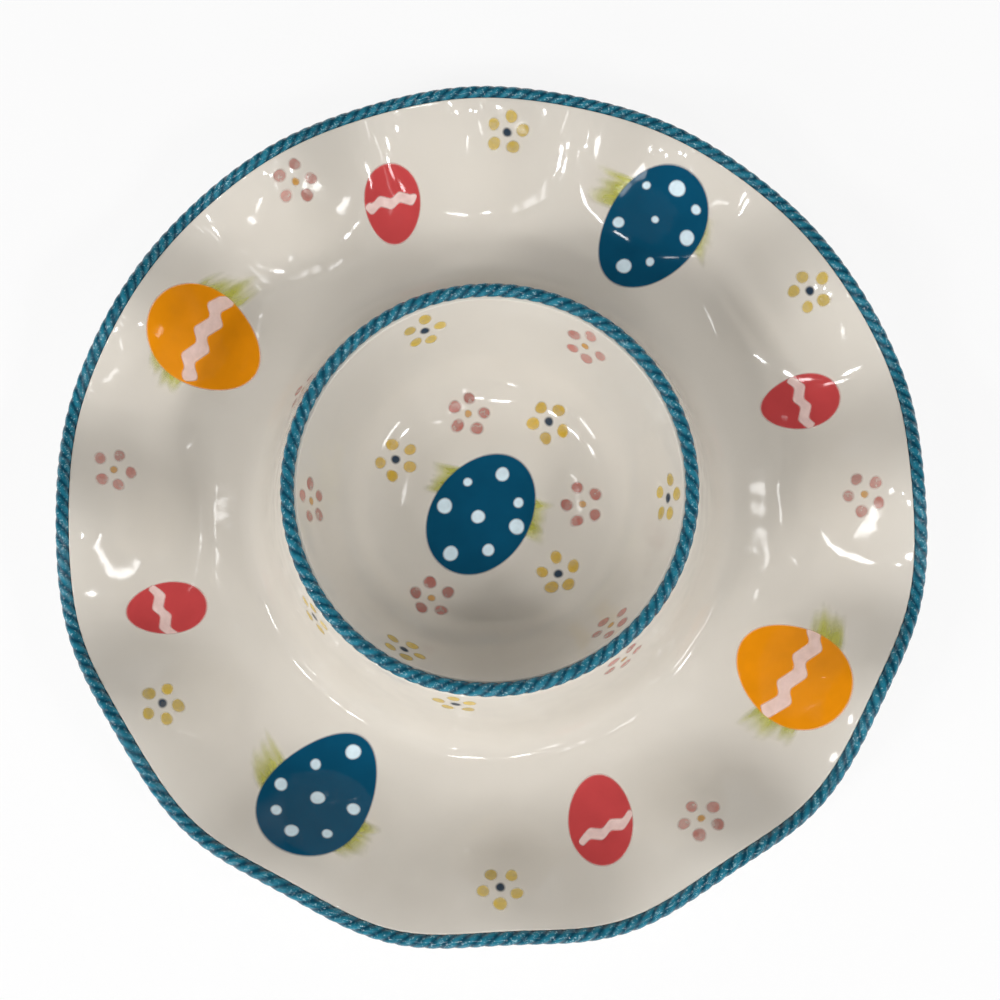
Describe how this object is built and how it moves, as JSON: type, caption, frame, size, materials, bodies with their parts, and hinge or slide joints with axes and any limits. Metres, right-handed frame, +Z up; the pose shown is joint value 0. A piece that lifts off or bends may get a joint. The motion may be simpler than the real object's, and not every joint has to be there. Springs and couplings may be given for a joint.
{
  "type": "chip and dip platter",
  "caption": "Round ruffled chip platter in glazed earthenware, with a raised collar holding a lift-out dip bowl and a twisted rope edge on both rims.",
  "frame": {"origin": "centre of the foot ring, on the surface that the platter stands on", "axes": "+Z up along the common axis of platter and bowl, -Y towards the viewer of the picture, +X to the viewer's right"},
  "size_m": [0.3544, 0.354, 0.0667],
  "materials": {
    "cream_glaze": "glossy cream-white glaze over earthenware",
    "teal_glaze": "glossy teal glaze over a twisted clay coil"
  },
  "bodies": {
    "platter": {"platter_body": "cream_glaze", "platter_rope_rim": "teal_glaze"},
    "bowl": {"dip_bowl": "cream_glaze", "dip_bowl_rope_rim": "teal_glaze"}
  },
  "joints": [
    {"name": "bowl_lift", "type": "slide", "parent": "platter", "child": "bowl", "axis": [0, 0, 1], "range_m": [0, 0.09]}
  ]
}
